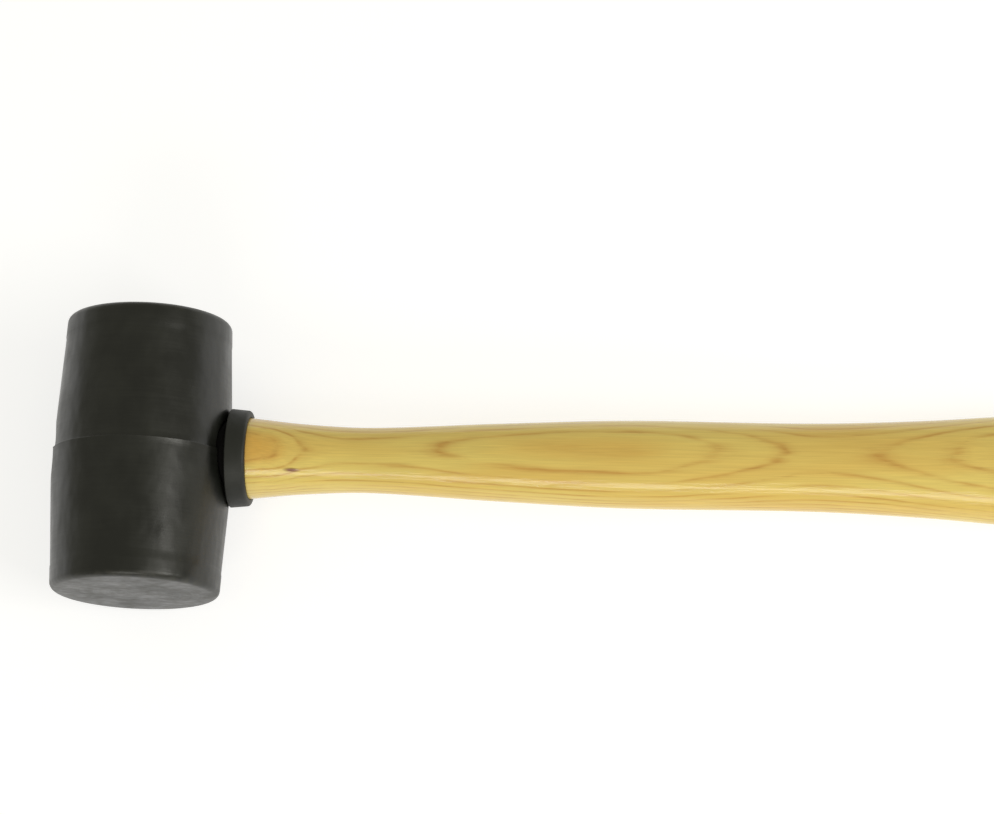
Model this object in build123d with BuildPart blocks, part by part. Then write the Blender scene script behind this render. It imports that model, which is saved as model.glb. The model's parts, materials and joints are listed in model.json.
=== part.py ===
"""Rubber mallet: a moulded rubber barrel on a hardwood handle.

The mallet lies on its side, as it does when put down. The barrel's middle and the handle's end touch the
ground, so the handle slopes down a few degrees from the head.

Row frame, in millimetres: +Z is up, +X runs along the handle away from the head, and Y is the line of the
blow. The origin is on the ground, under the middle of the whole tool.
"""

import os
from math import asin, atan2, cos, hypot, sin

from build123d import *

# Barrel head.
HEAD_LENGTH = 99.0  # from one striking face to the other
BELLY_R = 32.6  # at the parting line, on the -Y half
FACE_R = 30.05  # the -Y striking face, before its edge is rounded
BAND_R = 30.3  # inner edge of the band next to that face
MOULD_STEP = 0.6  # how much smaller the +Y half is, all the way along
BAND_LENGTH = 8.0
BAND_STEP = 0.25  # how far the band stands out from the taper
FACE_EDGE_R = 2.0

# Handle, across its length. "Height" is along the line of the blow, "thickness" is square to it.
NECK_R = 14.4  # round, where it leaves the collar
THROAT_HEIGHT, THROAT_THICKNESS = 23.4, 20.6
GRIP_HEIGHT, GRIP_THICKNESS = 31.3, 24.8
WAIST_HEIGHT, WAIST_THICKNESS = 31.4, 23.8
KNOB_HEIGHT, KNOB_THICKNESS = 39.0, 27.6
BUTT_HEIGHT, BUTT_THICKNESS = 37.0, 26.0
BUTT_EDGE_R = 7.0

# Handle, along its length.
OVERALL_LENGTH = 356.0  # from the barrel's far side to the handle's end
THROAT_FROM_COLLAR = 42.9
GRIP_FROM_COLLAR = 132.9
FLARE_LENGTH = 86.0  # from the waist, where the grip starts to widen, to the handle's end
KNOB_FROM_END = 13.0  # widest place of the flare
KNOB_SAG = 0.2  # the sloping knob reaches this much lower, just past its widest place

# Tenon: the part of the handle inside the head.
TENON_R = 12.5
TENON_RECESS = 4.2  # how far its sawn end sits inside the barrel's far side
EYE_CLEARANCE = 0.05  # between the tenon or the sleeve and the head's eye

# Collar: a rubber ring with a short sleeve that reaches into the mouth of the eye.
COLLAR_R = 17.5
COLLAR_LENGTH = 7.1
COLLAR_EDGE_R = 1.4
COLLAR_GAP = 0.1  # between the collar's flat back and the barrel beside the eye's mouth
COLLAR_CLEARANCE = 0.05  # between the collar and the handle
SOCKET_DEPTH = 3.6  # how deep the handle's neck sits in the collar's front
SLEEVE_WALL = 1.6
SLEEVE_LENGTH = 6.0  # behind the collar's flat back

# Wooden wedge, set along the line of the blow, in a saw cut.
WEDGE_WIDTH = 24.0
WEDGE_LENGTH = 34.0
WEDGE_HEAD = 4.4  # thickness at the sawn end
KERF_WIDTH = 1.0  # of the saw cut, and so of the wedge's tip
KERF_PAST_WEDGE = 10.0

# Steel wedge, set across the wooden one.
STEEL_WIDTH = 13.0
STEEL_LENGTH = 15.0
STEEL_HEAD, STEEL_TIP = 2.6, 0.6


def blend(first, second, share):
    """Value that lies a share of the way from the first to the second."""
    return first + (second - first) * share


# How the mallet lies: the handle turns down until its knob touches the ground with the barrel.
butt_at = OVERALL_LENGTH - BELLY_R  # stations are distances from the barrel's centre
knob_at = butt_at - KNOB_FROM_END
knob_drop = KNOB_THICKNESS / 2 + KNOB_SAG
lie = asin(BELLY_R / hypot(knob_at, knob_drop)) - atan2(knob_drop, knob_at)
along = Vector(cos(lie), 0, -sin(lie))
up = Vector(sin(lie), 0, cos(lie))

# The barrel's far side ends beside the eye, which cuts away the widest place of the belly.
half_length = HEAD_LENGTH / 2
taper_end = half_length - BAND_LENGTH
eye_r = TENON_R + EYE_CLEARANCE
far_side = blend(BELLY_R, BAND_R - BAND_STEP, eye_r / taper_end)
centre = Vector((far_side - butt_at * cos(lie)) / 2, 0, BELLY_R)

# "lengthwise" looks down on the mallet: its x runs along the handle and its y along the blow.
# "across" cuts the handle: its x runs along the blow and its y through the handle's thickness.
lengthwise = Plane(origin=centre, x_dir=along, z_dir=up)
across = Plane(origin=centre, x_dir=(0, 1, 0), z_dir=along)
blow_axis = Axis(centre, (0, 1, 0))
handle_axis = Axis(centre, along)

# The collar's flat back meets the barrel beside the mouth of the eye, where the belly is already narrower.
sleeve_r = TENON_R + COLLAR_CLEARANCE + SLEEVE_WALL
mouth_r = sleeve_r + EYE_CLEARANCE
seat = blend(BELLY_R, BAND_R - BAND_STEP, mouth_r / taper_end)

# Stations along the handle.
tenon_end = TENON_RECESS - BELLY_R
collar_back = seat + COLLAR_GAP
collar_front = collar_back + COLLAR_LENGTH
sleeve_end = collar_back - SLEEVE_LENGTH
shoulder = collar_front - SOCKET_DEPTH
throat_at = collar_front + THROAT_FROM_COLLAR
grip_at = collar_front + GRIP_FROM_COLLAR
waist_at = butt_at - FLARE_LENGTH

through_barrel = 3 * BELLY_R  # a cut this long goes right through


with BuildPart() as head:
    with BuildSketch(lengthwise) as barrel_half_section:
        with BuildLine() as barrel_outline:
            Polyline(
                (0, -half_length),
                (FACE_R, -half_length),
                (BAND_R, -taper_end),
                (BAND_R - BAND_STEP, -taper_end),
                (BELLY_R, 0),
                (BELLY_R - MOULD_STEP, 0),
                (BAND_R - BAND_STEP - MOULD_STEP, taper_end),
                (BAND_R - MOULD_STEP, taper_end),
                (FACE_R - MOULD_STEP, half_length),
                (0, half_length),
                close=True,
            )
        make_face()
    revolve(axis=blow_axis)
    rims = head.edges().filter_by(GeomType.CIRCLE).group_by(Axis.Y)
    fillet(rims[0] + rims[-1], FACE_EDGE_R)
    # The eye goes right through. Its mouth is wider, for the collar's sleeve.
    with BuildSketch(across.offset(-through_barrel / 2)) as eye:
        Circle(eye_r)
    extrude(amount=through_barrel, mode=Mode.SUBTRACT)
    with BuildSketch(across.offset(sleeve_end)) as eye_mouth:
        Circle(mouth_r)
    extrude(amount=through_barrel, mode=Mode.SUBTRACT)
head.part.label = "head"


with BuildPart() as collar:
    with BuildSketch(across.offset(collar_back)) as flange:
        Circle(COLLAR_R)
    extrude(amount=COLLAR_LENGTH)
    fillet(collar.faces().sort_by(handle_axis)[-1].edges(), COLLAR_EDGE_R)
    with BuildSketch(across.offset(sleeve_end)) as sleeve:
        Circle(sleeve_r)
    extrude(amount=SLEEVE_LENGTH)
    with BuildSketch(across.offset(sleeve_end)) as tenon_hole:
        Circle(TENON_R + COLLAR_CLEARANCE)
    extrude(amount=SLEEVE_LENGTH + COLLAR_LENGTH, mode=Mode.SUBTRACT)
    with BuildSketch(across.offset(shoulder)) as neck_socket:
        Circle(NECK_R + COLLAR_CLEARANCE)
    extrude(amount=SOCKET_DEPTH, mode=Mode.SUBTRACT)
collar.part.label = "collar"


with BuildPart() as steel_wedge:
    with BuildSketch(across.offset(tenon_end)) as steel_head:
        Rectangle(STEEL_HEAD, STEEL_WIDTH)
    with BuildSketch(across.offset(tenon_end + STEEL_LENGTH)) as steel_tip:
        Rectangle(STEEL_TIP, STEEL_WIDTH)
    loft()
steel_wedge.part.label = "steel_wedge"


with BuildPart() as wood_wedge:
    with BuildSketch(across.offset(tenon_end)) as wedge_head:
        Rectangle(WEDGE_WIDTH, WEDGE_HEAD)
    with BuildSketch(across.offset(tenon_end + WEDGE_LENGTH)) as wedge_tip:
        Rectangle(WEDGE_WIDTH, KERF_WIDTH)
    loft()
    whole_wedge = wood_wedge.part
    add(steel_wedge.part, mode=Mode.SUBTRACT)
wood_wedge.part.label = "wood_wedge"


with BuildPart() as handle:
    # Each section is an oval: its station, its height along the blow, and its thickness.
    ovals = [
        (collar_front, 2 * NECK_R, 2 * NECK_R),
        (
            blend(collar_front, throat_at, 0.45),
            blend(2 * NECK_R, THROAT_HEIGHT, 0.68),
            blend(2 * NECK_R, THROAT_THICKNESS, 0.68),
        ),
        (throat_at, THROAT_HEIGHT, THROAT_THICKNESS),
        (
            blend(throat_at, grip_at, 0.5),
            blend(THROAT_HEIGHT, GRIP_HEIGHT, 0.56),
            blend(THROAT_THICKNESS, GRIP_THICKNESS, 0.56),
        ),
        (grip_at, GRIP_HEIGHT, GRIP_THICKNESS),
        (waist_at, WAIST_HEIGHT, WAIST_THICKNESS),
        (
            blend(waist_at, knob_at, 0.55),
            blend(WAIST_HEIGHT, KNOB_HEIGHT, 0.43),
            blend(WAIST_THICKNESS, KNOB_THICKNESS, 0.43),
        ),
        (knob_at, KNOB_HEIGHT, KNOB_THICKNESS),
        (butt_at, BUTT_HEIGHT, BUTT_THICKNESS),
    ]
    for station, height, thickness in ovals:
        with BuildSketch(across.offset(station)) as oval:
            Ellipse(height / 2, thickness / 2)
    loft()
    fillet(handle.faces().sort_by(handle_axis)[-1].edges(), BUTT_EDGE_R)
    with BuildSketch(across.offset(shoulder)) as neck:
        Circle(NECK_R)
    extrude(amount=SOCKET_DEPTH)
    with BuildSketch(across.offset(tenon_end)) as tenon:
        Circle(TENON_R)
    extrude(amount=shoulder - tenon_end)
    with BuildSketch(across.offset(tenon_end)) as kerf:
        Rectangle(2 * TENON_R, KERF_WIDTH)
    extrude(amount=WEDGE_LENGTH + KERF_PAST_WEDGE, mode=Mode.SUBTRACT)
    add(whole_wedge, mode=Mode.SUBTRACT)
    add(steel_wedge.part, mode=Mode.SUBTRACT)
handle.part.label = "handle"


os.makedirs("parts", exist_ok=True)
export_step(head.part, "parts/head.step")
export_step(collar.part, "parts/collar.step")
export_step(handle.part, "parts/handle.step")
export_step(wood_wedge.part, "parts/wood_wedge.step")
export_step(steel_wedge.part, "parts/steel_wedge.step")
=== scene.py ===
"""Rubber mallet: the looks of a moulded rubber barrel on a lacquered hickory handle.

Sizes are in millimetres in the handle's own coordinates: x runs along the handle from the barrel's centre,
y along the line of the blow, and z through the handle's thickness, upwards. Every finished mesh is turned
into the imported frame, in metres.
"""

import json
import logging
import math
from dataclasses import dataclass, field
from enum import Enum
from typing import Any, Callable, Iterable, Sequence

import bmesh
import bpy
from mathutils import Euler, Matrix, Vector, noise


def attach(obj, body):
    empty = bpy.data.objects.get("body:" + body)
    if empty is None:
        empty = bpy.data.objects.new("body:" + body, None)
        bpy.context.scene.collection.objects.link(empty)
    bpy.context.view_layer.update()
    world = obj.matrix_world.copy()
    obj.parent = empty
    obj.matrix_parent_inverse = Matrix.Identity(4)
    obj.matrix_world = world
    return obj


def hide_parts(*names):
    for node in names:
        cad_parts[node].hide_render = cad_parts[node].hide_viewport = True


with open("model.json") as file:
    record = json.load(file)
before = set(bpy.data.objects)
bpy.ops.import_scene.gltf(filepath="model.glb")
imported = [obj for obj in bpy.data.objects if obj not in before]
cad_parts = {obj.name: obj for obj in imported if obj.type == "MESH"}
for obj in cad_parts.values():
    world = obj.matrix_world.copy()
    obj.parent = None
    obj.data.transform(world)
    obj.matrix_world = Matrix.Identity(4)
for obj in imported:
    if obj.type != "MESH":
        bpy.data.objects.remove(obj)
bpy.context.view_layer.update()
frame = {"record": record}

LOG = logging.getLogger("mallet")
MM = 0.001

MOUNTS = {mount["name"]: mount for mount in frame["record"]["mounts"]}
LOWER_FACE = Vector(MOUNTS["lower_face"]["pos_m"])
UPPER_FACE = Vector(MOUNTS["upper_face"]["pos_m"])
CENTRE = (LOWER_FACE + UPPER_FACE) / 2
ALONG = Vector(MOUNTS["throat"]["axis"]).normalized()
LIE = math.atan2(-ALONG.z, ALONG.x)  # how far the handle slopes down
PLACE = Matrix.LocRotScale(CENTRE, Euler((0, LIE, 0)), Vector((MM, MM, MM)))

# Sizes that more than one piece shares, in millimetres. Stations are distances from the barrel's centre.
HEAD_LENGTH = (UPPER_FACE - LOWER_FACE).length / MM
TENON_R = 12.5
TENON_END = -28.4  # its sawn end
NECK_R = 14.4
FIT = 0.05  # clearance round the tenon, the neck and the sleeve
SLEEVE_R = 14.15
COLLAR_BACK = 31.83  # just clear of the barrel beside the eye's mouth
COLLAR_FRONT = 38.93
SLEEVE_END = 25.83
SHOULDER = 35.33  # where the neck sits on the bottom of the collar's socket


class Along(Enum):
    """The line that a turned shape is spun about."""

    HANDLE = (1.0, 0.0, 0.0)
    BLOW = (0.0, 1.0, 0.0)


class Half(Enum):
    """The two halves of the barrel's mould, by the side of the parting line."""

    LOWER = -1
    UPPER = 1


# ---------------------------------------------------------------- small helpers


def linear(colour: str) -> tuple[float, float, float, float]:
    """Turn an sRGB hex colour into the linear colour that a shader takes.

    Args:
        colour: six hex digits after a hash sign.

    Returns:
        Red, green, blue and alpha, from 0 to 1.
    """
    parts = [int(colour[i : i + 2], 16) / 255 for i in (1, 3, 5)]
    red, green, blue = (c / 12.92 if c <= 0.04045 else ((c + 0.055) / 1.055) ** 2.4 for c in parts)
    return red, green, blue, 1.0


def add_node(
    tree: bpy.types.NodeTree,
    kind: str,
    values: dict[Any, Any] | None = None,
    links: dict[Any, bpy.types.NodeSocket] | None = None,
    **settings: Any,
) -> bpy.types.Node:
    """Add a shader node with its settings, values and links.

    Args:
        tree: the material's node tree.
        kind: the node's type, without its ShaderNode prefix.
        values: what its input sockets hold, by name or number.
        links: the output sockets that feed its inputs, by name or number.
        settings: the node's own properties.

    Returns:
        The new node.
    """
    node = tree.nodes.new("ShaderNode" + kind)
    for name, value in settings.items():
        setattr(node, name, value)
    for socket, value in (values or {}).items():
        node.inputs[socket].default_value = value
    for socket, source in (links or {}).items():
        tree.links.new(source, node.inputs[socket])
    return node


def new_material(name: str) -> tuple[bpy.types.Material, bpy.types.NodeTree, bpy.types.Node]:
    """Start a material that has only a Principled shader and an output.

    Args:
        name: the finish's common name.

    Returns:
        The material, its node tree and its Principled node.
    """
    material = bpy.data.materials.new(name)
    material.use_nodes = True
    tree = material.node_tree
    tree.nodes.clear()
    shader = add_node(tree, "BsdfPrincipled")
    add_node(tree, "OutputMaterial", links={"Surface": shader.outputs["BSDF"]})
    return material, tree, shader


def math_node(
    tree: bpy.types.NodeTree, operation: str, *terms: float | bpy.types.NodeSocket, clamp: bool = False
) -> bpy.types.NodeSocket:
    """Add a Math node whose terms are numbers or sockets.

    Args:
        tree: the material's node tree.
        operation: the node's operation.
        terms: its inputs in order.
        clamp: whether the result is kept from 0 to 1.

    Returns:
        The node's output.
    """
    values = {i: term for i, term in enumerate(terms) if not isinstance(term, bpy.types.NodeSocket)}
    links = {i: term for i, term in enumerate(terms) if isinstance(term, bpy.types.NodeSocket)}
    return add_node(tree, "Math", values, links, operation=operation, use_clamp=clamp).outputs[0]


def grain_noise(
    tree: bpy.types.NodeTree,
    place: bpy.types.NodeSocket,
    sizes: Sequence[float],
    detail: float = 2.0,
    shift: float = 0.0,
) -> bpy.types.NodeSocket:
    """Noise whose blotches have a real size along each of the handle's coordinates.

    Args:
        tree: the material's node tree.
        place: position in the handle's coordinates, in millimetres.
        sizes: the blotches' length along x, y and z, in millimetres.
        detail: how many finer layers the noise has.
        shift: moves the pattern, so that two noises of one size differ.

    Returns:
        The noise, from 0 to 1 and mostly near 0.5.
    """
    scaled = add_node(
        tree,
        "Mapping",
        {"Scale": [1 / size for size in sizes], "Location": (shift, shift, shift)},
        {"Vector": place},
    )
    texture = add_node(tree, "TexNoise", {"Scale": 1.0, "Detail": detail}, {"Vector": scaled.outputs[0]})
    return texture.outputs[0]


def spread(
    tree: bpy.types.NodeTree, value: bpy.types.NodeSocket, low: float, high: float, first: float, last: float
) -> bpy.types.NodeSocket:
    """Turn the stretch from low to high into the one from first to last, and hold it there.

    Args:
        tree: the material's node tree.
        value: what is turned.
        low: the value that becomes first.
        high: the value that becomes last.
        first: the result at low.
        last: the result at high.

    Returns:
        The result.
    """
    values = {"From Min": low, "From Max": high, "To Min": first, "To Max": last}
    return add_node(tree, "MapRange", values, {"Value": value}, clamp=True).outputs[0]


def mix(
    tree: bpy.types.NodeTree, share: bpy.types.NodeSocket, first: Any, second: Any
) -> bpy.types.NodeSocket:
    """Mix two colours, each a linear colour or a socket.

    Args:
        tree: the material's node tree.
        share: how much of the second there is.
        first: the colour at 0.
        second: the colour at 1.

    Returns:
        The mixed colour.
    """
    node = add_node(tree, "Mix", links={0: share}, data_type="RGBA")
    for socket, colour in ((6, first), (7, second)):
        if isinstance(colour, bpy.types.NodeSocket):
            tree.links.new(colour, node.inputs[socket])
        else:
            node.inputs[socket].default_value = colour
    return node.outputs[2]


def place_in_handle(tree: bpy.types.NodeTree) -> bpy.types.NodeSocket:
    """Position in the handle's coordinates, in millimetres, from Object coordinates."""
    here = add_node(tree, "TexCoord")
    turned = add_node(
        tree,
        "Mapping",
        {"Location": CENTRE, "Rotation": (0, LIE, 0), "Scale": (MM, MM, MM)},
        {"Vector": here.outputs["Object"]},
        vector_type="TEXTURE",
    )
    return turned.outputs[0]


def finish_piece(
    bm: bmesh.types.BMesh, name: str, materials: Iterable[bpy.types.Material], smooth_degrees: float = 32.0
) -> bpy.types.Object:
    """Put a mesh made in the handle's coordinates into the frame, as a piece in the scene.

    Args:
        bm: the mesh, in millimetres, which is freed.
        name: the piece's name.
        materials: its material slots in order.
        smooth_degrees: edges that turn by more than this stay sharp.

    Returns:
        The piece.
    """
    bmesh.ops.recalc_face_normals(bm, faces=bm.faces)
    bmesh.ops.transform(bm, matrix=PLACE, verts=bm.verts)
    for face in bm.faces:
        face.smooth = True
    mesh = bpy.data.meshes.new(name)
    bm.to_mesh(mesh)
    bm.free()
    mesh.set_sharp_from_angle(angle=math.radians(smooth_degrees))
    piece = bpy.data.objects.new(name, mesh)
    bpy.context.scene.collection.objects.link(piece)
    for material in materials:
        mesh.materials.append(material)
    return piece


def stand_for(piece: bpy.types.Object, node: str) -> None:
    """Let a finished piece take a CAD node's place, and report it.

    Args:
        piece: the finished piece.
        node: the CAD node that it replaces.
    """
    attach(piece, "root")
    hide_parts(node)
    LOG.info("%s: %d faces, for %s", piece.name, len(piece.data.polygons), node)


def subdivided(points: Sequence[tuple[float, float]], step: float) -> list[tuple[float, float]]:
    """Add points to an outline so that none of its runs is longer than a step.

    Args:
        points: the outline.
        step: the longest run allowed, in millimetres.

    Returns:
        The outline with more points.
    """
    result = [points[0]]
    for start, end in zip(points, points[1:]):
        count = max(1, math.ceil(math.dist(start, end) / step))
        result += [tuple(a + (b - a) * i / count for a, b in zip(start, end)) for i in range(1, count + 1)]
    return result


def arc(
    centre: tuple[float, float], radius: float, first: float, last: float, steps: int
) -> list[tuple[float, float]]:
    """Points round part of a circle.

    Args:
        centre: its centre.
        radius: its radius.
        first: the first point's angle, in degrees.
        last: the last point's angle.
        steps: how many runs there are.

    Returns:
        The points, both ends included.
    """
    angles = [math.radians(first + (last - first) * i / steps) for i in range(steps + 1)]
    return [(centre[0] + radius * math.cos(a), centre[1] + radius * math.sin(a)) for a in angles]


def turned_shape(outline: Sequence[tuple[float, float]], about: Along, steps: int) -> bmesh.types.BMesh:
    """Spin an outline about the handle's axis or the line of the blow.

    Args:
        outline: points as (distance along the axis, distance from it), which start and end on the axis
            or close on themselves.
        about: the axis.
        steps: how many slices there are round it.

    Returns:
        The closed mesh, in the handle's coordinates.
    """
    bm = bmesh.new()
    axis = Vector(about.value)
    away = Vector((0, 0, 1))
    verts = [bm.verts.new(axis * station + away * radius) for station, radius in outline]
    for first, second in zip(verts, verts[1:]):
        bm.edges.new((first, second))
    bmesh.ops.spin(
        bm,
        geom=bm.verts[:] + bm.edges[:],
        cent=(0, 0, 0),
        axis=axis,
        angle=math.tau,
        steps=steps,
        use_merge=True,
    )
    bmesh.ops.remove_doubles(bm, verts=bm.verts, dist=1e-4)
    bmesh.ops.recalc_face_normals(bm, faces=bm.faces)
    return bm


def cut(bm: bmesh.types.BMesh, *cutters: bmesh.types.BMesh) -> bmesh.types.BMesh:
    """Take other closed meshes away from one.

    Args:
        bm: the mesh that is cut, which is freed.
        cutters: what is taken away, which are freed.

    Returns:
        What is left.
    """
    made = []
    for source in (bm, *cutters):
        mesh = bpy.data.meshes.new("cutting")
        source.to_mesh(mesh)
        source.free()
        made.append(bpy.data.objects.new("cutting", mesh))
        bpy.context.scene.collection.objects.link(made[-1])
    body = made[0]
    for cutter in made[1:]:
        modifier = body.modifiers.new("cut", "BOOLEAN")
        modifier.operation, modifier.solver, modifier.object = "DIFFERENCE", "EXACT", cutter
    evaluated = body.evaluated_get(bpy.context.evaluated_depsgraph_get())
    result = bmesh.new()
    result.from_mesh(evaluated.to_mesh())
    evaluated.to_mesh_clear()
    for thing in made:
        mesh = thing.data
        bpy.data.objects.remove(thing)
        bpy.data.meshes.remove(mesh)
    return result


# ---------------------------------------------------------------- finishes


@dataclass(frozen=True)
class MouldedRubber:
    """Black natural rubber, vulcanised in a steel mould and left as it comes out.

    It is a very dark warm grey with a satin skin. The mould's release agent leaves a grey bloom in soft
    streaks along the pull, and handling scuffs the edges and the struck faces to a chalky grey.
    """

    name: str = "Natural rubber, moulded"
    colour: str = "#11120f"
    bloom: str = "#20211d"
    scuff: str = "#35342d"
    roughness: float = 0.3
    bloom_roughness: float = 0.16  # added where the bloom lies
    scuff_roughness: float = 0.15
    face_at: float | None = None  # where the struck faces are, along the blow
    scuff_starts: float = 2.6  # how far from a face the scuffed edge starts
    scuff_full: float = 0.4
    scuff_mm: float = 3.5  # size of the chalky patches
    cloud_mm: tuple[float, float, float] = (13, 18, 13)  # size of the bloom's clouds
    pebble_mm: float = 0.5  # a mould's blasted surface is finer, and drawn as coarse as it shows
    mark_mm: float = 0.7  # between the turning marks that the mould leaves; coarser than the real 0.2
    mark_drift: float = 0.04  # how slowly the marks change round the barrel
    hollow_mm: tuple[float, float, float] = (10, 18, 10)  # size of the slow hollows
    swell_mm: float = 1.6  # depth of the slow hollows, as the bump sees it
    skin_mm: float = 0.05  # depth of the marks and the pebble
    relief: float = 0.3

    def turning_marks(self, tree: bpy.types.NodeTree, here: bpy.types.NodeSocket) -> bpy.types.NodeSocket:
        """The lathe's marks in the mould: rings about the line of the blow.

        Args:
            tree: the material's node tree.
            here: position in the handle's coordinates.

        Returns:
            Their height, from 0 to 1.
        """
        flat = add_node(tree, "VectorMath", {1: (1, 0, 1)}, {0: here}, operation="MULTIPLY")
        radius = add_node(tree, "VectorMath", links={0: flat.outputs[0]}, operation="LENGTH")
        xyz = add_node(tree, "SeparateXYZ", links={0: here}).outputs
        drift = math_node(tree, "MULTIPLY", xyz[0], self.mark_drift)
        rings = add_node(tree, "CombineXYZ", links={0: radius.outputs["Value"], 1: xyz[1], 2: drift})
        return grain_noise(tree, rings.outputs[0], (self.mark_mm,) * 3, 2, 5.0)

    def build(self) -> bpy.types.Material:
        """Make the material."""
        material, tree, shader = new_material(self.name)
        here = place_in_handle(tree)
        xyz = add_node(tree, "SeparateXYZ", links={0: here}).outputs
        clouds = grain_noise(tree, here, self.cloud_mm, 4)
        marks = self.turning_marks(tree, here)
        bloom = spread(tree, math_node(tree, "MULTIPLY_ADD", marks, 0.25, clouds), 0.5, 0.78, 0.0, 0.8)
        colour = mix(tree, bloom, linear(self.colour), linear(self.bloom))
        rough = math_node(tree, "MULTIPLY_ADD", bloom, self.bloom_roughness, self.roughness)
        if self.face_at is not None:
            reach = math_node(tree, "ABSOLUTE", xyz[1])
            start, full = self.face_at - self.scuff_starts, self.face_at - self.scuff_full
            near_edge = spread(tree, reach, start, full, 0.0, 1.0)
            patches = grain_noise(tree, here, (self.scuff_mm,) * 3, 5, 9.0)
            chalk = spread(tree, patches, 0.42, 0.66, 0.12, 0.8)
            worn = math_node(tree, "MULTIPLY", near_edge, chalk)
            colour = mix(tree, worn, colour, linear(self.scuff))
            rough = math_node(tree, "MULTIPLY_ADD", worn, self.scuff_roughness, rough)
        pebble = grain_noise(tree, here, (self.pebble_mm,) * 3, 3)
        skin = math_node(tree, "MULTIPLY_ADD", marks, 0.7, pebble)
        swells = grain_noise(tree, here, self.hollow_mm, 2, 6.0)
        skin = math_node(tree, "MULTIPLY_ADD", swells, self.swell_mm / self.skin_mm, skin)
        depth = {"Strength": self.relief, "Distance": self.skin_mm * MM}
        bump = add_node(tree, "Bump", depth, {"Height": skin})
        for socket, source in (("Base Color", colour), ("Roughness", rough), ("Normal", bump.outputs[0])):
            tree.links.new(source, shader.inputs[socket])
        shader.inputs["IOR"].default_value = 1.52
        return material


@dataclass(frozen=True)
class SleevePaintedShade:
    """The collar's sleeve, matt and darker than the rubber: painted shade for the gap beside the barrel."""

    name: str = "Sleeve rubber, painted shade"
    # Both colours are painted shade, near black, for the gap between the collar and the barrel.
    colour: str = "#080708"
    lighter_shade: str = "#100e10"
    roughness: float = 0.85
    sleeve_streak_mm: float = 1.2  # width of the streaks in the painted shade
    sleeve_streak_depth_mm: float = 0.1  # depth of the streaks

    def build(self) -> bpy.types.Material:
        """Make the material."""
        material, tree, shader = new_material(self.name)
        here = place_in_handle(tree)
        sleeve_streaks = grain_noise(tree, here, (self.sleeve_streak_mm, 5 * self.sleeve_streak_mm, 5 * self.sleeve_streak_mm), 3)
        depth = {"Strength": 0.4, "Distance": self.sleeve_streak_depth_mm * MM}
        bump = add_node(tree, "Bump", depth, {"Height": sleeve_streaks})
        # The painted shade, mottled a little along the streaks.
        colour = mix(tree, sleeve_streaks, linear(self.colour), linear(self.lighter_shade))
        tree.links.new(colour, shader.inputs["Base Color"])
        tree.links.new(bump.outputs[0], shader.inputs["Normal"])
        shader.inputs["Roughness"].default_value = self.roughness
        shader.inputs["Specular IOR Level"].default_value = 0.15
        return material


@dataclass(frozen=True)
class GrowthRings:
    """Where the growth rings lie in the handle's wood.

    The blank is flat sawn, so its rings lie nearly level through the handle and meet its top in long
    loops. Their height rises and falls along the handle, and the shaping of the throat and the grip does
    the rest.
    """

    width: float = 1.5  # of one year's growth
    top_ring: float = 11.13  # height of the ring that the grip just skims
    bow: float = 1 / 160  # of the rings, across the handle: the pith is 80 mm below
    tilt: float = 0.083  # of the rings, across the handle
    slow_mm: float = 0.9  # how far the rings wander over a long stretch
    quick_mm: float = 0.35  # and over a short one
    rises: tuple[tuple[float, float], ...] = (
        (36, -1.3),
        (45, -0.5),
        (52, -0.05),
        (58.7, -0.40),
        (66, -0.35),
        (84, 0.05),
        (98, 0.0),
        (111, 0.16),
        (160, 0.0),
        (201, -1.08),
        (226.5, -2.3),
        (245, -2.95),
        (265, -2.73),
        (290, -2.02),
        (325, -1.9),
    )

    def height(self, tree: bpy.types.NodeTree, here: bpy.types.NodeSocket) -> bpy.types.NodeSocket:
        """Count of rings up through the wood, which is a whole number at each ring's dark line.

        Args:
            tree: the material's node tree.
            here: position in the handle's coordinates.

        Returns:
            The count.
        """
        xyz = add_node(tree, "SeparateXYZ", links={0: here}).outputs
        start, end = self.rises[0][0], self.rises[-1][0]
        low, high = min(rise for _, rise in self.rises), max(rise for _, rise in self.rises)
        share = spread(tree, xyz[0], start, end, 0.0, 1.0)
        curve = add_node(tree, "FloatCurve", links={"Value": share})
        points = curve.mapping.curves[0].points
        while len(points) < len(self.rises):
            points.new(0.5, 0.5)
        for point, (station, rise) in zip(points, self.rises):
            point.location = ((station - start) / (end - start), (rise - low) / (high - low))
        curve.mapping.update()
        rise = spread(tree, curve.outputs[0], 0.0, 1.0, low, high)
        slow = math_node(tree, "SUBTRACT", grain_noise(tree, here, (60, 14, 14), 1), 0.5)
        quick = math_node(tree, "SUBTRACT", grain_noise(tree, here, (14, 2.5, 2.5), 2, 3.0), 0.5)
        total = math_node(tree, "MULTIPLY_ADD", xyz[1], self.bow, self.tilt)
        total = math_node(tree, "MULTIPLY_ADD", total, xyz[1], xyz[2])
        total = math_node(tree, "ADD", total, rise)
        total = math_node(tree, "MULTIPLY_ADD", slow, self.slow_mm, total)
        total = math_node(tree, "MULTIPLY_ADD", quick, self.quick_mm, total)
        return math_node(tree, "DIVIDE", math_node(tree, "SUBTRACT", total, self.top_ring), self.width)


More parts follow.
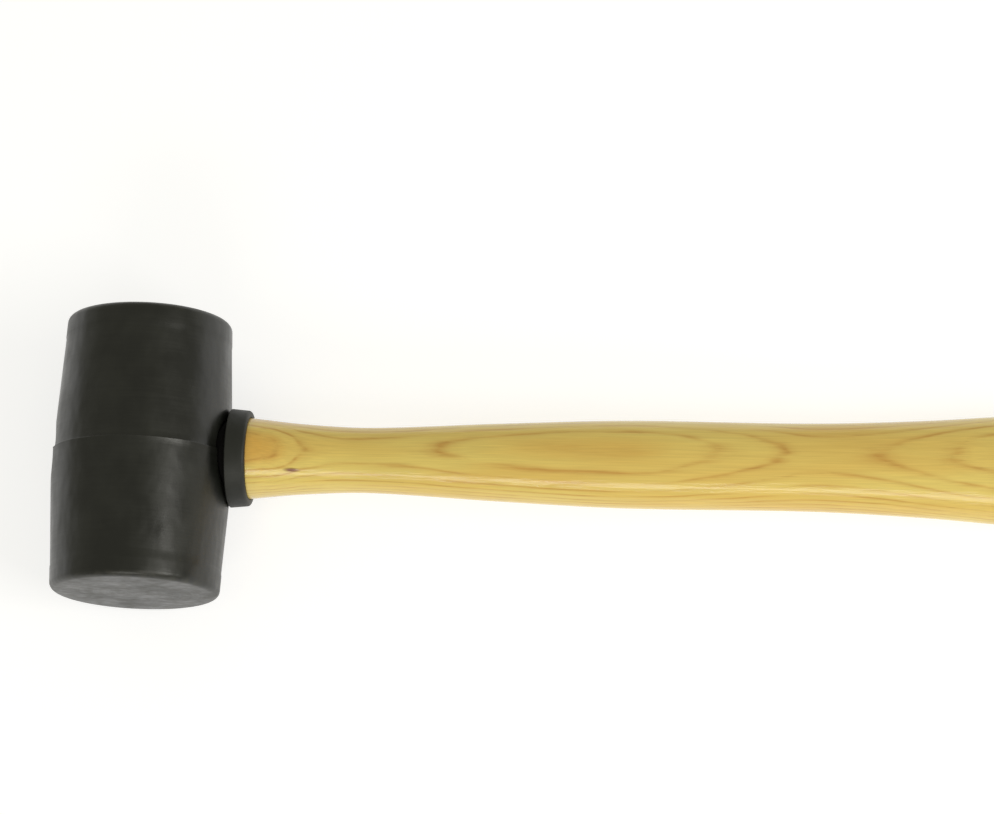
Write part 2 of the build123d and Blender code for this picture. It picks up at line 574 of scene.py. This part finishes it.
@dataclass(frozen=True)
class Hickory:
    """Hickory, shaved and sanded, either under clear lacquer or sawn bare.

    It is a pale yellow wood with thin orange-brown lines where each year's open pores start, a soft fade
    on one side of each line, and fine fibre streaks. Lacquer deepens it and gives a soft gloss; a sawn
    end is duller and darker, because the pores drink light.
    """

    name: str = "Hickory, lacquered"
    pale: str = "#e7cd6f"
    warm: str = "#dcaa4a"
    line: str = "#c48f3e"
    pore: str = "#8c5a1f"
    heartwood: float = 0.9  # how much warmer the wood is above the ring that the grip skims
    lacquer: float = 1.0
    lacquer_roughness: float = 0.13
    roughness: float = 0.6
    fibre_mm: float = 0.05  # depth of the fibres and the pores
    ripple_mm: float = 0.09  # depth of the lacquer's brush waves
    rings: GrowthRings = field(default_factory=GrowthRings)
    year: tuple[tuple[float, float], ...] = (
        (0.0, 0.8),
        (0.09, 0.25),
        (0.2, 0.03),
        (0.45, 0.0),
        (0.7, 0.12),
        (0.85, 0.45),
        (0.95, 0.9),
        (1.0, 0.8),
    )  # how dark the wood is through one year's growth
    mark: tuple[float, float, float] | None = (55.2, -6.4, 11.0)  # a small mineral streak
    mark_size: tuple[float, float, float] = (3.4, 0.85, 3.0)
    mark_colour: str = "#7a4216"

    def year_shade(self, tree: bpy.types.NodeTree, count: bpy.types.NodeSocket) -> bpy.types.NodeSocket:
        """How dark the wood is through the years' growth.

        Args:
            tree: the material's node tree.
            count: the count of rings.

        Returns:
            The shade, which is 1 at its darkest.
        """
        year = math_node(tree, "FRACT", count)
        ramp = add_node(tree, "ValToRGB", links={0: year})
        stops = ramp.color_ramp.elements
        for stop, (_, depth) in zip(stops, (self.year[0], self.year[-1])):
            stop.color = (depth, depth, depth, 1)
        for position, depth in self.year[1:-1]:
            stops.new(position).color = (depth, depth, depth, 1)
        return ramp.outputs[0]

    def mineral_mark(
        self, tree: bpy.types.NodeTree, here: bpy.types.NodeSocket, colour: bpy.types.NodeSocket
    ) -> bpy.types.NodeSocket:
        """Add the small dark streak to the wood's colour.

        Args:
            tree: the material's node tree.
            here: position in the handle's coordinates.
            colour: the wood's colour without it.

        Returns:
            The colour with it.
        """
        place = {"Location": self.mark, "Scale": self.mark_size}
        away = add_node(tree, "Mapping", place, {"Vector": here}, vector_type="TEXTURE")
        length = add_node(tree, "VectorMath", links={0: away.outputs[0]}, operation="LENGTH")
        spot = spread(tree, length.outputs["Value"], 0.4, 1.05, 1.0, 0.0)
        return mix(tree, spot, colour, linear(self.mark_colour))

    def build(self) -> bpy.types.Material:
        """Make the material."""
        material, tree, shader = new_material(self.name)
        here = place_in_handle(tree)
        count = self.rings.height(tree, here)
        shade = self.year_shade(tree, count)
        faded = spread(tree, grain_noise(tree, here, (30, 3, 3), 3, 7.0), 0.36, 0.62, 0.1, 0.9)
        ring = math_node(tree, "MULTIPLY", shade, faded)
        stain = spread(tree, grain_noise(tree, here, (70, 12, 9), 2, 11.0), 0.38, 0.68, 0.0, 0.4)
        heart = spread(tree, count, 0.2, 1.3, 0.0, self.heartwood)
        stain = math_node(tree, "MAXIMUM", stain, heart)
        fibre = grain_noise(tree, here, (26, 0.45, 0.45), 3, 2.0)
        pores = grain_noise(tree, here, (7, 0.2, 0.2), 2, 4.0)
        colour = mix(tree, stain, linear(self.pale), linear(self.warm))
        colour = mix(tree, ring, colour, linear(self.line))
        dark = math_node(tree, "MULTIPLY", spread(tree, pores, 0.6, 0.75, 0.0, 0.4), shade)
        colour = mix(tree, dark, colour, linear(self.pore))
        streak = spread(tree, fibre, 0.3, 0.7, 0.92, 1.05)
        colour = add_node(tree, "VectorMath", links={0: colour, 3: streak}, operation="SCALE").outputs[0]
        if self.mark is not None:
            colour = self.mineral_mark(tree, here, colour)
        relief = math_node(tree, "MULTIPLY_ADD", shade, -0.6, fibre)
        depth = {"Strength": 0.25, "Distance": self.fibre_mm * MM}
        bump = add_node(tree, "Bump", depth, {"Height": relief})
        for socket, source in (("Base Color", colour), ("Normal", bump.outputs[0])):
            tree.links.new(source, shader.inputs[socket])
        waves = math_node(tree, "MULTIPLY_ADD", grain_noise(tree, here, (22, 1.8, 1.8), 2, 8.0), 2.5, fibre)
        depth = {"Strength": 0.5, "Distance": self.ripple_mm * MM}
        ripple = add_node(tree, "Bump", depth, {"Height": waves})
        tree.links.new(ripple.outputs[0], shader.inputs["Coat Normal"])
        shader.inputs["Roughness"].default_value = self.roughness
        shader.inputs["Specular IOR Level"].default_value = 0.25
        shader.inputs["Coat Weight"].default_value = self.lacquer
        shader.inputs["Coat Roughness"].default_value = self.lacquer_roughness
        return material


@dataclass(frozen=True)
class WedgeSteel:
    """Mild steel strip, cropped and hammered in: grey, satin, and dented by the blows."""

    name: str = "Mild steel, hammered"
    colour: str = "#9a9892"
    dark: str = "#5c5853"
    roughness: float = 0.38
    dent_size_mm: float = 1.4
    dent_mm: float = 0.12  # depth of the dents

    def build(self) -> bpy.types.Material:
        """Make the material."""
        material, tree, shader = new_material(self.name)
        here = place_in_handle(tree)
        dents = grain_noise(tree, here, (self.dent_size_mm,) * 3, 2)
        tarnish = spread(tree, grain_noise(tree, here, (3, 3, 3), 4, 6.0), 0.42, 0.62, 0.0, 0.8)
        colour = mix(tree, tarnish, linear(self.colour), linear(self.dark))
        depth = {"Strength": 0.5, "Distance": self.dent_mm * MM}
        bump = add_node(tree, "Bump", depth, {"Height": dents})
        tree.links.new(colour, shader.inputs["Base Color"])
        tree.links.new(bump.outputs[0], shader.inputs["Normal"])
        shader.inputs["Metallic"].default_value = 1.0
        shader.inputs["Roughness"].default_value = self.roughness
        return material


# ---------------------------------------------------------------- the rubber barrel


@dataclass
class Barrel:
    """The moulded head: two tapers that meet at the parting line, a band at each face, and the eye."""

    length: float = HEAD_LENGTH
    belly: float = CENTRE.z / MM  # the barrel rests on its widest place
    mould_step: float = 0.6  # how much smaller the upper half is, all the way along
    lip: float = 0.15  # the lower half's rim, where the mould pinched it
    lip_length: float = 0.5
    pinch: float = 0.12  # length of the rim's last rounding
    band: float = 30.3
    band_length: float = 8.0
    band_step: float = 0.14
    band_blend: float = 0.9  # the steel mould's step was polished out to this length
    face: float = 30.05
    face_edge: float = 2.4
    eye: float = TENON_R + FIT
    eye_rim: float = 0.7
    mouth: float = SLEEVE_R + FIT  # the wider part of the eye, for the collar's sleeve
    mouth_from: float = SLEEVE_END
    slices: int = 192
    eye_slices: int = 96
    row: float = 2.0  # height of the mesh's rows
    unevenness: float = 0.05
    wander: float = 0.16  # of the parting line
    rubber: MouldedRubber = field(default_factory=lambda: MouldedRubber(face_at=HEAD_LENGTH / 2))

    def taper_end(self) -> float:
        """Distance from the parting line to each band."""
        return self.length / 2 - self.band_length

    def radius(self, y: float) -> float:
        """The taper's radius at a place along the blow."""
        step = self.mould_step if y > 0 else 0.0
        share = min(1.0, abs(y) / self.taper_end())
        return self.belly * (1 - share) + (self.band - self.band_step) * share - step

    def half_outline(self, half: Half) -> list[tuple[float, float]]:
        """One half's outline, from its face to the parting line.

        Args:
            half: the mould's half.

        Returns:
            Points as (distance along the blow, radius).
        """
        side = half.value
        step = self.mould_step if half is Half.UPPER else 0.0
        end = self.length / 2
        edge = self.face_edge
        corner = arc((end - edge, self.face - step - edge), edge, 0, 90, 6)
        belly = self.belly - step
        face = subdivided([(end, 0.0), corner[0]], 4 * self.row)
        band_end = (self.taper_end() + self.band_blend / 2, self.band - step)
        band = subdivided([corner[-1], band_end], self.row)
        taper_from = self.taper_end() - self.band_blend / 2
        taper_start = (taper_from, self.radius(side * taper_from))
        taper = subdivided([taper_start, (self.lip_length, belly - self.lip)], self.row)
        rim = [(0.0, belly)]
        if half is Half.LOWER:
            rim = [(self.pinch, belly - 0.03), (0.0, belly - 0.1)]
        points = face + corner[1:] + band[1:] + taper + rim
        return [(side * station, radius) for station, radius in points]

    def uneven(self, bm: bmesh.types.BMesh) -> None:
        """Give the skin the slight waves of a rubber moulding, and its parting line a slight wander.

        Args:
            bm: the barrel, in the handle's coordinates.
        """
        for vert in bm.verts:
            away = Vector((vert.co.x, 0, vert.co.z))
            if away.length < self.face - self.mould_step - self.face_edge:
                continue
            wave = noise.noise(vert.co / 14.0) + 0.4 * noise.noise(vert.co / 5.0)
            near_line = max(0.0, 1 - abs(vert.co.y) / 1.5)
            wander = self.wander * noise.noise(away / 9.0) * near_line
            vert.co -= away.normalized() * self.unevenness * (0.5 + 0.5 * wave)
            vert.co.y += wander

    def eye_cutter(self) -> bmesh.types.BMesh:
        """The eye with a rounded rim that follows the barrel's far side, and its wider mouth.

        Returns:
            A closed mesh, to be taken out of the barrel.
        """
        rim = self.eye_rim
        over, past = 3.0, 60.0  # the cutter stands this far over the far skin, and ends past the near one
        apart = 100.0  # the far end is turned this far out, then dropped onto the skin
        rounded = arc((-rim, self.eye + rim), rim, 270, 360, 5)  # (height over the skin, radius)
        far_end = [(over, 0.0), (over, self.eye + rim), *reversed(rounded)]
        near_end = [
            (self.mouth_from, self.eye), (self.mouth_from, self.mouth), (past, self.mouth), (past, 0.0)
        ]
        outline = [(-apart - height, radius) for height, radius in far_end] + near_end
        bm = turned_shape(outline, Along.HANDLE, self.eye_slices)
        for vert in bm.verts:
            if vert.co.x < -apart / 2:
                skin = math.sqrt(max(0.0, self.radius(vert.co.y) ** 2 - vert.co.z**2))
                vert.co.x += apart - skin
        return bm

    def build(self) -> bpy.types.Object:
        """Make the barrel."""
        lower = self.half_outline(Half.LOWER)
        upper = self.half_outline(Half.UPPER)
        bm = turned_shape(lower + upper[::-1], Along.BLOW, self.slices)
        self.uneven(bm)
        bm = cut(bm, self.eye_cutter())
        piece = finish_piece(bm, "barrel", [self.rubber.build()], 38)
        stand_for(piece, "head")
        return piece


# ---------------------------------------------------------------- the collar


@dataclass
class Collar:
    """The rubber ring between the handle's shoulder and the barrel, with its hidden sleeve."""

    radius: float = 17.5
    front_radius: float = 17.0  # the mould's draft
    back: float = COLLAR_BACK
    front: float = COLLAR_FRONT
    edge: float = 1.0
    lead: float = 0.3  # small rounding where the mould's parts met
    socket: float = NECK_R + FIT
    socket_bottom: float = SHOULDER
    tenon_hole: float = TENON_R + FIT
    sleeve: float = SLEEVE_R
    sleeve_end: float = SLEEVE_END
    relief: float = 13.1  # the sleeve is relieved where it leaves the barrel
    relief_length: float = 3.6
    slices: int = 144
    rubber: MouldedRubber = field(
        default_factory=lambda: MouldedRubber(name="Rubber ring, moulded", colour="#141612", roughness=0.5)
    )
    # the sleeve's material is painted shade for the gap beside the barrel
    sleeve_shade: SleevePaintedShade = field(default_factory=SleevePaintedShade)

    def build(self) -> bpy.types.Object:
        """Make the collar."""
        back, front, lead = self.back, self.front, self.lead
        corner = arc((front - self.edge, self.front_radius - self.edge), self.edge, 90, 0, 6)
        outline = [
            (self.sleeve_end, self.tenon_hole),
            (self.sleeve_end, self.sleeve),
            (back - self.relief_length - lead, self.sleeve),
            (back - self.relief_length, self.relief),
            (back, self.relief),
            (back, self.radius - lead),
            (back + lead, self.radius),
            *subdivided([(back + 2 * lead, self.radius), corner[0]], 1.5),
            *corner[1:],
            (front, self.socket + lead),
            (front - lead, self.socket),
            (self.socket_bottom, self.socket),
            (self.socket_bottom, self.tenon_hole),
            (self.sleeve_end, self.tenon_hole),
        ]
        bm = turned_shape(outline, Along.HANDLE, self.slices)
        for face in bm.faces:
            # faces behind the collar's back, on the sleeve, take the painted shade
            face.material_index = int(face.calc_center_median().x < back)
        piece = finish_piece(bm, "collar_ring", [self.rubber.build(), self.sleeve_shade.build()])
        stand_for(piece, "collar")
        return piece


# ---------------------------------------------------------------- the handle and its wedges


@dataclass
class Wedges:
    """The wooden wedge in the tenon's saw cut, and the steel one driven across it."""

    end: float = TENON_END
    width: float = 24.0
    length: float = 34.0
    head: float = 4.4
    tip: float = 1.0
    kerf_past: float = 10.0
    steel_width: float = 13.0
    steel_length: float = 15.0
    steel_head: float = 2.6
    steel_tip: float = 0.6
    steel_sunk: float = 0.35  # the steel is driven just below the sawn end
    steel_rim: float = 0.3  # its struck edge is this round
    cutter_past: float = 2.0  # how far the shapes that cut the wood reach past its end
    wood: Hickory = field(
        default_factory=lambda: Hickory(
            name="Hardwood wedge, sawn",
            pale="#b98d55",
            warm="#a37642",
            line="#7f5527",
            lacquer=0.0,
            roughness=0.72,
            rings=GrowthRings(width=0.9, tilt=0.6),
            mark=None,
        )
    )
    steel: WedgeSteel = field(default_factory=WedgeSteel)

    def taper(
        self, start: float, length: float, first: tuple[float, float], last: tuple[float, float]
    ) -> bmesh.types.BMesh:
        """A block that tapers along the handle.

        Args:
            start: the station of its thick end.
            length: its length.
            first: its size along y and z at the thick end.
            last: the same at the tip.

        Returns:
            The block.
        """
        bm = bmesh.new()
        bmesh.ops.create_cube(bm, size=1.0)
        for vert in bm.verts:
            size = first if vert.co.x < 0 else last
            station = start if vert.co.x < 0 else start + length
            vert.co = Vector((station, vert.co.y * size[0], vert.co.z * size[1]))
        return bm

    def whole_wood(self, extra: float = 0.0) -> bmesh.types.BMesh:
        """The wooden wedge before the steel splits it.

        Args:
            extra: how far it reaches past its head.

        Returns:
            The wedge.
        """
        grow = extra * (self.head - self.tip) / self.length
        return self.taper(
            self.end - extra, self.length + extra, (self.width, self.head + grow), (self.width, self.tip)
        )

    def whole_steel(self, extra: float = 0.0) -> bmesh.types.BMesh:
        """The steel wedge before its rim is rounded.

        Args:
            extra: how far it reaches past its head, or less than 0 if it stops short.

        Returns:
            The wedge.
        """
        grow = extra * (self.steel_head - self.steel_tip) / self.steel_length
        return self.taper(
            self.end - extra,
            self.steel_length + extra,
            (self.steel_head + grow, self.steel_width),
            (self.steel_tip, self.steel_width),
        )

    def kerf(self, tenon: float) -> bmesh.types.BMesh:
        """The saw cut, which goes right across the tenon.

        Args:
            tenon: the tenon's radius.

        Returns:
            The block that the saw takes out.
        """
        past = self.cutter_past
        size = (2 * tenon + past, self.tip)
        return self.taper(self.end - past, self.length + self.kerf_past + past, size, size)

    def build(self) -> list[bpy.types.Object]:
        """Make both wedges."""
        wood = cut(self.whole_wood(), self.whole_steel(self.cutter_past))
        wooden = finish_piece(wood, "wooden_wedge", [self.wood.build()])
        stand_for(wooden, "wood_wedge")
        steel = self.whole_steel(-self.steel_sunk)
        struck = self.end + self.steel_sunk
        rim = [edge for edge in steel.edges if all(abs(v.co.x - struck) < 1e-3 for v in edge.verts)]
        rounding = {"offset": self.steel_rim, "segments": 3, "profile": 0.5}
        bmesh.ops.bevel(steel, geom=rim, affect="EDGES", material=-1, **rounding)
        steely = finish_piece(steel, "steel_wedge_blade", [self.steel.build()])
        stand_for(steely, "steel_wedge")
        return [wooden, steely]


@dataclass
class Handle:
    """The shaved handle: an oval that swells and thins along its length, and the tenon it ends in."""

    front: float = COLLAR_FRONT  # where the handle first shows
    butt: float = 323.4
    neck: float = NECK_R
    shoulder: float = SHOULDER
    tenon: float = TENON_R
    tenon_chamfer: float = 0.4
    butt_edge: float = 7.0
    butt_rows: int = 8  # of the mesh, round the butt's edge
    sides: int = 96
    step: float = 3.0
    shaving: float = 0.06  # how far the spokeshave's flats stray from the oval
    ovals: tuple[tuple[float, float, float], ...] = (
        (COLLAR_FRONT, 2 * NECK_R, 2 * NECK_R),
        (58.2, 25.13, 23.22),
        (81.8, 23.4, 20.6),
        (126.8, 27.82, 22.95),
        (171.8, 31.3, 24.8),
        (237.4, 31.4, 23.8),
        (277.5, 34.67, 25.43),
        (310.4, 39.0, 27.6),
        (323.4, 37.0, 26.0),
    )
    wedges: Wedges = field(default_factory=Wedges)
    lacquered: Hickory = field(default_factory=Hickory)
    bare: Hickory = field(
        default_factory=lambda: Hickory(
            name="Hickory, sawn end",
            pale="#c79c5f",
            warm="#b08147",
            line="#85592b",
            lacquer=0.0,
            roughness=0.7,
            mark=None,
        )
    )

    def oval(self, station: float) -> tuple[float, float]:
        """Half height and half thickness at a station, on a smooth curve through the named ovals.

        Args:
            station: distance from the barrel's centre.

        Returns:
            Half the height along the blow, and half the thickness.
        """
        ovals = self.ovals
        i = max(0, min(len(ovals) - 2, sum(o[0] <= station for o in ovals) - 1))
        before, after = ovals[max(0, i - 1)], ovals[min(len(ovals) - 1, i + 2)]
        low, high = ovals[i], ovals[i + 1]
        span = high[0] - low[0]
        t = (station - low[0]) / span
        sizes = []
        for k in (1, 2):
            slope_low = (high[k] - before[k]) / (high[0] - before[0]) * span
            slope_high = (after[k] - low[k]) / (after[0] - low[0]) * span
            sizes.append(
                (2 * t**3 - 3 * t**2 + 1) * low[k]
                + (t**3 - 2 * t**2 + t) * slope_low
                + (3 * t**2 - 2 * t**3) * high[k]
                + (t**3 - t**2) * slope_high
            )
        return sizes[0] / 2, sizes[1] / 2

    def sections(self) -> list[tuple[float, float, float]]:
        """Every section of the mesh, from the tenon's end to the middle of the butt.

        Returns:
            Each section's station, half height and half thickness.
        """
        end, tenon, chamfer = self.wedges.end, self.tenon, self.tenon_chamfer
        rows = [(end, tenon - chamfer, tenon - chamfer), (end + chamfer, tenon, tenon)]
        rows += [(self.shoulder, tenon, tenon), (self.shoulder, self.neck, self.neck)]
        edge_start = self.butt - self.butt_edge
        count = round((edge_start - self.front) / self.step)
        for i in range(count + 1):
            station = self.front + (edge_start - self.front) * i / count
            rows.append((station, *self.oval(station)))
        for i in range(1, self.butt_rows + 1):
            angle = math.radians(90 * i / self.butt_rows)
            station = edge_start + self.butt_edge * math.sin(angle)
            inset = self.butt_edge * (1 - math.cos(angle))
            half_height, half_thickness = self.oval(min(station, self.butt))
            rows.append((station, half_height - inset, half_thickness - inset))
        return rows

    def build(self) -> bpy.types.Object:
        """Make the handle."""
        bm = bmesh.new()
        rows = self.sections()
        ring = bmesh.ops.create_circle(bm, cap_ends=True, radius=1.0, segments=self.sides)["verts"]
        stand_up = Matrix.Rotation(math.radians(90), 4, "Y")
        bmesh.ops.transform(bm, matrix=stand_up, verts=ring)
        previous = (0.0, 1.0, 1.0)
        edges = bm.edges[:]
        for number, row in enumerate(rows):
            if number:
                made = bmesh.ops.extrude_edge_only(bm, edges=edges)["geom"]
                ring = [g for g in made if isinstance(g, bmesh.types.BMVert)]
                edges = [g for g in made if isinstance(g, bmesh.types.BMEdge)]
            grow = (1.0, row[1] / previous[1], row[2] / previous[2])
            bmesh.ops.translate(bm, vec=(row[0] - previous[0], 0, 0), verts=ring)
            bmesh.ops.scale(bm, vec=grow, verts=ring)
            previous = row
        bmesh.ops.contextual_create(bm, geom=edges)
        bmesh.ops.recalc_face_normals(bm, faces=bm.faces)
        self.shave(bm)
        wedges, past = self.wedges, self.wedges.cutter_past
        bm = cut(bm, wedges.kerf(self.tenon), wedges.whole_wood(past), wedges.whole_steel(past))
        for face in bm.faces:
            face.material_index = int(face.calc_center_median().x < self.shoulder - 0.5)
        piece = finish_piece(bm, "shaved_handle", [self.lacquered.build(), self.bare.build()], 38)
        stand_for(piece, "handle")
        return piece

    def shave(self, bm: bmesh.types.BMesh) -> None:
        """Let the oval stray a little, as hand sanding leaves it.

        Args:
            bm: the handle, in its own coordinates.
        """
        start, fade_length = self.front + 1, 10
        for vert in bm.verts:
            if vert.co.x <= start:
                continue
            away = Vector((0, vert.co.y, vert.co.z))
            if away.length > 1:
                fade = min(1.0, (vert.co.x - start) / fade_length)
                flat = noise.noise(Vector((vert.co.x / 34, vert.co.y / 9, vert.co.z / 9)))
                vert.co -= away.normalized() * self.shaving * fade * (0.5 + 0.5 * flat)


# ---------------------------------------------------------------- the studio


@dataclass
class SoftBox:
    """A square soft light, aimed at the mallet."""

    name: str
    direction: tuple[float, float, float]
    distance: float
    size: tuple[float, float]
    power: float
    colour: str = "#ffffff"
    aim: tuple[float, float, float] = (0.0, 0.0, 0.02)

    def build(self) -> None:
        """Make the light."""
        data = bpy.data.lights.new(self.name, "AREA")
        data.shape = "RECTANGLE"
        data.size, data.size_y = self.size
        data.energy = self.power
        data.color = linear(self.colour)[:3]
        lamp = bpy.data.objects.new(self.name, data)
        towards = Vector(self.direction).normalized()
        lamp.location = Vector(self.aim) + towards * self.distance
        lamp.rotation_mode = "QUATERNION"
        lamp.rotation_quaternion = towards.to_track_quat("Z", "Y")
        bpy.context.scene.collection.objects.link(lamp)


@dataclass
class Studio:
    """A white table under soft light, and the camera above it."""

    aim_from_barrel: tuple[float, float, float] = (0.12550, 0.02008, -0.0077)
    azimuth: float = 31.08  # degrees round from straight in front
    elevation: float = 73.17
    roll: float = -29.99
    distance: float = 1.4211
    lens: float = 145.49
    table_size: float = 24.0
    table_colour: str = "#b8b8bb"
    table_glow: float = 0.69  # the table is lit from below as well, as for a catalogue
    sky: float = 0.42
    sky_colour: str = "#fffde8"
    boxes: tuple[SoftBox, ...] = (
        SoftBox("right_softbox", (0.70, -0.26, 0.70), 1.3, (0.8, 0.42), 7.4, "#fffdf6"),
        SoftBox("front_softbox", (-0.05, -0.81, 0.60), 1.6, (0.9, 0.34), 4.3, "#fffdf6"),
    )

    def camera(self) -> None:
        """Make the camera and let the scene use it."""
        data = bpy.data.cameras.new("camera")
        data.lens = self.lens
        camera = bpy.data.objects.new("camera", data)
        turn, rise = math.radians(self.azimuth), math.radians(self.elevation)
        flat = math.cos(rise)
        back = Vector((math.sin(turn) * flat, -math.cos(turn) * flat, math.sin(rise)))
        right = Vector((0, 0, 1)).cross(back).normalized()
        upward = back.cross(right)
        spin = math.radians(self.roll)
        across = right * math.cos(spin) + upward * math.sin(spin)
        above = back.cross(across)
        aim = CENTRE + Vector(self.aim_from_barrel)
        turned = Matrix((across, above, back)).transposed().to_4x4()
        camera.matrix_world = Matrix.Translation(aim + back * self.distance) @ turned
        bpy.context.scene.collection.objects.link(camera)
        bpy.context.scene.camera = camera

    def table(self) -> None:
        """Make the white table top."""
        material, _, shader = new_material("White acrylic, lit from below")
        shader.inputs["Base Color"].default_value = linear(self.table_colour)
        shader.inputs["Roughness"].default_value = 0.9
        shader.inputs["Emission Color"].default_value = (1, 1, 1, 1)
        shader.inputs["Emission Strength"].default_value = self.table_glow
        bm = bmesh.new()
        bmesh.ops.create_grid(bm, x_segments=1, y_segments=1, size=self.table_size / 2)
        mesh = bpy.data.meshes.new("table")
        bm.to_mesh(mesh)
        bm.free()
        mesh.materials.append(material)
        table = bpy.data.objects.new("table", mesh)
        bpy.context.scene.collection.objects.link(table)

    def build(self) -> None:
        """Make the table, the lights, the room's own light and the camera."""
        self.table()
        for box in self.boxes:
            box.build()
        world = bpy.data.worlds.new("room")
        world.use_nodes = True
        background = world.node_tree.nodes["Background"]
        background.inputs["Color"].default_value = linear(self.sky_colour)
        background.inputs["Strength"].default_value = self.sky
        bpy.context.scene.world = world
        bpy.context.scene.view_settings.view_transform = "Standard"
        self.camera()


def main() -> None:
    """Build the mallet and its studio."""
    logging.basicConfig(level=logging.INFO, format="%(message)s")
    builders: list[Callable[[], Any]] = [Barrel().build, Collar().build, Handle().build, Wedges().build]
    for builder in builders:
        builder()
    Studio().build()


if __name__ == "__main__":
    main()
